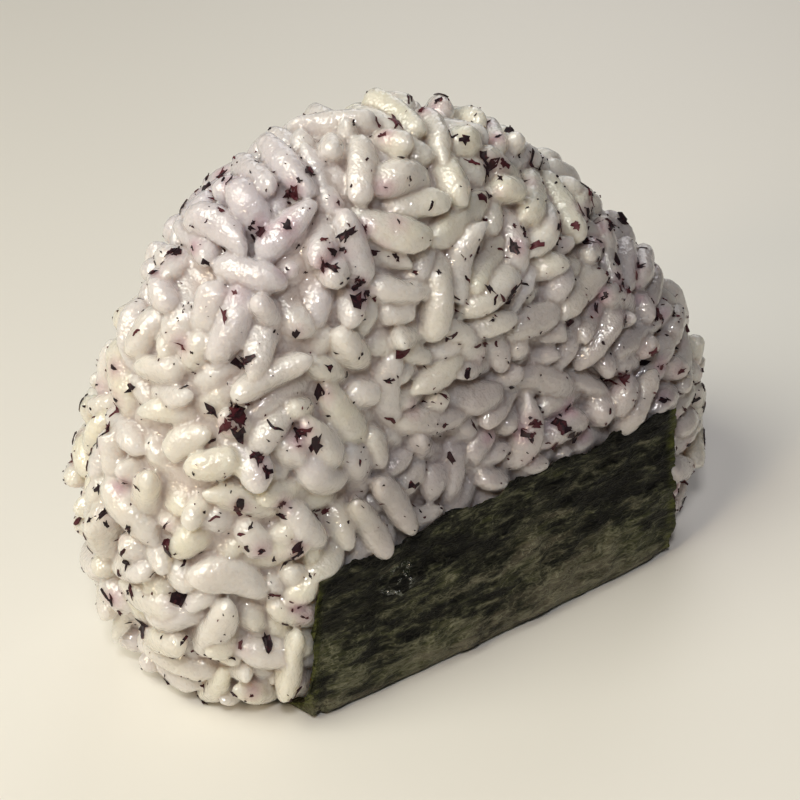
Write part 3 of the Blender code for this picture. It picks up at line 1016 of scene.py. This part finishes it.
def plate(outline, centre, facing, tree, chance):
    """One flake: rings of points from the outline inwards, draped, with an upper and a lower face."""
    axes = random_axes(facing, chance)
    flat = np.concatenate([outline, outline * INNER_RING, np.zeros((1, 2))])
    body = FLAKE_BODY * chance.uniform(*BODY_RANGE)
    top = draped(flat, centre, axes, facing, tree)
    if top is None:
        return None
    curl = chance.uniform(0, FLAKE_CURL, 2)
    crumple = np.abs(flat) @ curl + np.abs(chance.normal(0, FLAKE_CRUMPLE, len(top)))
    top = top + facing * crumple[:, None]
    corners = len(outline)
    sunk = ((top[corners:-1].mean(0) - top[-1]) * facing).sum()
    top[-1] += facing * max(0.0, sunk)
    return np.concatenate([top, top - facing * body]), plate_faces(corners)


def thread_faces():
    """Triangles of two faces, with points down one side and then the other, and the walls between."""
    total = 2 * THREAD_JOINTS
    first, second = np.arange(total).reshape(2, -1)
    upper = np.stack([first[:-1], second[:-1], second[1:], first[1:]], 1)
    rim = np.concatenate([second, first[::-1]])
    return halved(np.concatenate([upper, upper[:, ::-1] + total, walls(rim, total)]))


def thread(centre, facing, tree, chance):
    """One thin curled strip of leaf lying over the grains."""
    axes = random_axes(facing, chance)
    step = chance.uniform(*THREAD_LENGTH) / (THREAD_JOINTS - 1)
    heading = chance.normal(0, 0.5) + np.cumsum(chance.normal(0, THREAD_CURL, THREAD_JOINTS))
    line = np.cumsum(np.stack([np.cos(heading), np.sin(heading)], 1) * step, axis=0)
    line -= line.mean(0)
    taper = np.sin(np.linspace(0.5, math.pi - 0.3, THREAD_JOINTS))
    width = chance.uniform(*THREAD_WIDTH) * taper + 0.02 * MM
    tangent = unit(np.gradient(line, axis=0))
    sideways = np.stack([-tangent[:, 1], tangent[:, 0]], 1) * width[:, None]
    flat = np.concatenate([line + sideways, line - sideways])
    top = draped(flat, centre, axes, facing, tree)
    if top is None:
        return None
    return np.concatenate([top, top - facing * FLAKE_BODY]), thread_faces()


def flake_places(form, strip, chance, count, grouped_share):
    """Spots and facings on the ball for flakes, many in tight groups, none under the nori."""
    tries = count * 3
    hubs = form.scatter(HUBS, chance)
    loose = form.scatter(tries, chance)
    spread = chance.choice(HUB_SPREAD, (tries, 1))
    grouped = hubs[chance.integers(0, len(hubs), tries)] + chance.normal(0, 1, (tries, 3)) * spread
    spots = np.where((chance.random(tries) < grouped_share)[:, None], grouped, loose)
    depth, facing = form.nearest(spots)
    spots = spots + facing * depth[:, None]
    clear = (strip.inside(spots) < -NORI_CLEARANCE) & (spots[:, 2] > TABLE_CLEARANCE)
    return list(zip(spots[clear][:count], facing[clear][:count]))


def add_bits(name, bits, material, chance):
    """One piece of many small closed solids, each with its own tone."""
    bits = [bit for bit in bits if bit is not None]
    sizes = [len(points) for points, _ in bits]
    starts = np.cumsum([0] + sizes[:-1])
    points = np.concatenate([points for points, _ in bits])
    faces = np.concatenate([faces + start for (_, faces), start in zip(bits, starts)])
    mesh = new_mesh(name, points, faces)
    mesh.set_sharp_from_angle(angle=math.radians(SHARP_ANGLE))
    set_attribute(mesh, "tone", np.repeat(chance.random(len(bits)), sizes))
    add_piece(name, mesh, material)


def make_shiso(form, strip, tree, chance):
    """Flakes, specks and threads of dried red shiso; returns the spots where they stain the rice."""
    flakes, specks, threads = [], [], []
    spots = flake_places(form, strip, chance, FLAKES, FLAKES_GROUPED)
    stains = np.array([spot for spot, _ in spots if chance.random() < STAIN_SHARE])
    for spot, facing in spots:
        size = FLAKE_SIZE[0] + (FLAKE_SIZE[1] - FLAKE_SIZE[0]) * chance.random() ** SMALL_FLAKES
        outline = torn_outline(chance, size, int(chance.integers(*FLAKE_CORNERS)))
        flakes.append(plate(outline, spot, facing, tree, chance))
    for spot, facing in flake_places(form, strip, chance, SPECKS, SPECKS_GROUPED):
        outline = torn_outline(chance, chance.uniform(*SPECK_SIZE), SPECK_CORNERS)
        specks.append(plate(outline, spot, facing, tree, chance))
    for spot, facing in flake_places(form, strip, chance, THREADS, THREADS_GROUPED):
        threads.append(thread(spot, facing, tree, chance))
    leaf = shiso_material()
    add_bits("shiso_flakes", flakes, leaf, chance)
    add_bits("shiso_specks", specks, leaf, chance)
    add_bits("shiso_threads", threads, leaf, chance)
    return stains


def stain_rice(mesh, stains, chance):
    """Purple juice on the rice round some of the flakes."""
    tree = point_tree(stains)
    strength = chance.uniform(*STAIN_STRENGTH, len(stains))
    values = np.empty(len(mesh.vertices))
    for k, vertex in enumerate(mesh.vertices):
        _, index, away = tree.find(vertex.co)
        values[k] = strength[index] * max(0.0, 1 - away / STAIN_REACH)
    set_attribute(mesh, "stain", values)


# -------- stage


def make_floor():
    corners = np.array([[-1, -1, 0], [1, -1, 0], [1, 1, 0], [-1, 1, 0]]) * FLOOR_SIZE
    mesh = new_mesh("floor", corners, np.arange(4)[None])
    nodes = Nodes("floor")
    nodes.shade(Base_Color=FLOOR_COLOUR, Roughness=0.45)
    mesh.materials.append(nodes.material)
    new_object("floor", mesh)


def make_lights():
    for name, place, size, power, colour in LIGHTS:
        data = bpy.data.lights.new(name, "AREA")
        data.shape, data.size, data.energy, data.color = "DISK", size, power, colour
        lamp = new_object(name, data)
        lamp.location = place
        lamp.rotation_mode = "QUATERNION"
        lamp.rotation_quaternion = (Vector(LIT_POINT) - Vector(place)).to_track_quat("-Z", "Y")
    world = bpy.data.worlds.new("studio")
    world.use_nodes = True
    sky = world.node_tree.nodes["Background"].inputs
    sky["Color"].default_value = SKY_COLOUR
    sky["Strength"].default_value = SKY_STRENGTH
    bpy.context.scene.world = world
    bpy.context.scene.view_settings.view_transform = "Standard"


def make_camera():
    data = bpy.data.cameras.new("camera")
    data.sensor_width, data.lens = SENSOR, LENS
    data.clip_start, data.clip_end = 0.01, 10
    camera = new_object("camera", data)
    turn, rise = math.radians(CAMERA_AZIMUTH), math.radians(CAMERA_ELEVATION)
    back = Vector((math.sin(turn) * math.cos(rise), -math.cos(turn) * math.cos(rise), math.sin(rise)))
    right = Vector((math.cos(turn), math.sin(turn), 0))
    up = back.cross(right)
    aim = Vector((0, 0, AIM_HEIGHT)) + right * AIM_RIGHT + up * AIM_UP
    camera.location = aim + back * CAMERA_DISTANCE
    camera.rotation_mode = "QUATERNION"
    look = (-back).to_track_quat("-Z", "Y")
    camera.rotation_quaternion = look @ Matrix.Rotation(math.radians(CAMERA_ROLL), 4, "Z").to_quaternion()
    bpy.context.scene.camera = camera


def main():
    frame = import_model()
    form = Form(frame["nodes"]["rice_ball"])
    strip = StripForm(frame["nodes"]["nori_strip"])
    make_camera()
    chance = np.random.default_rng(SEED)
    grains = Grains(form, strip, chance)
    pressed = make_pressed_rice(grains, form, strip, rice_material(), chance)
    skin, faces = mesh_arrays(pressed)
    tree = BVHTree.FromPolygons(skin.tolist(), faces.tolist())
    make_nori(strip, nori_material(), tree)
    stains = make_shiso(form, strip, tree, chance)
    stain_rice(pressed, stains, chance)
    make_floor()
    make_lights()


main()
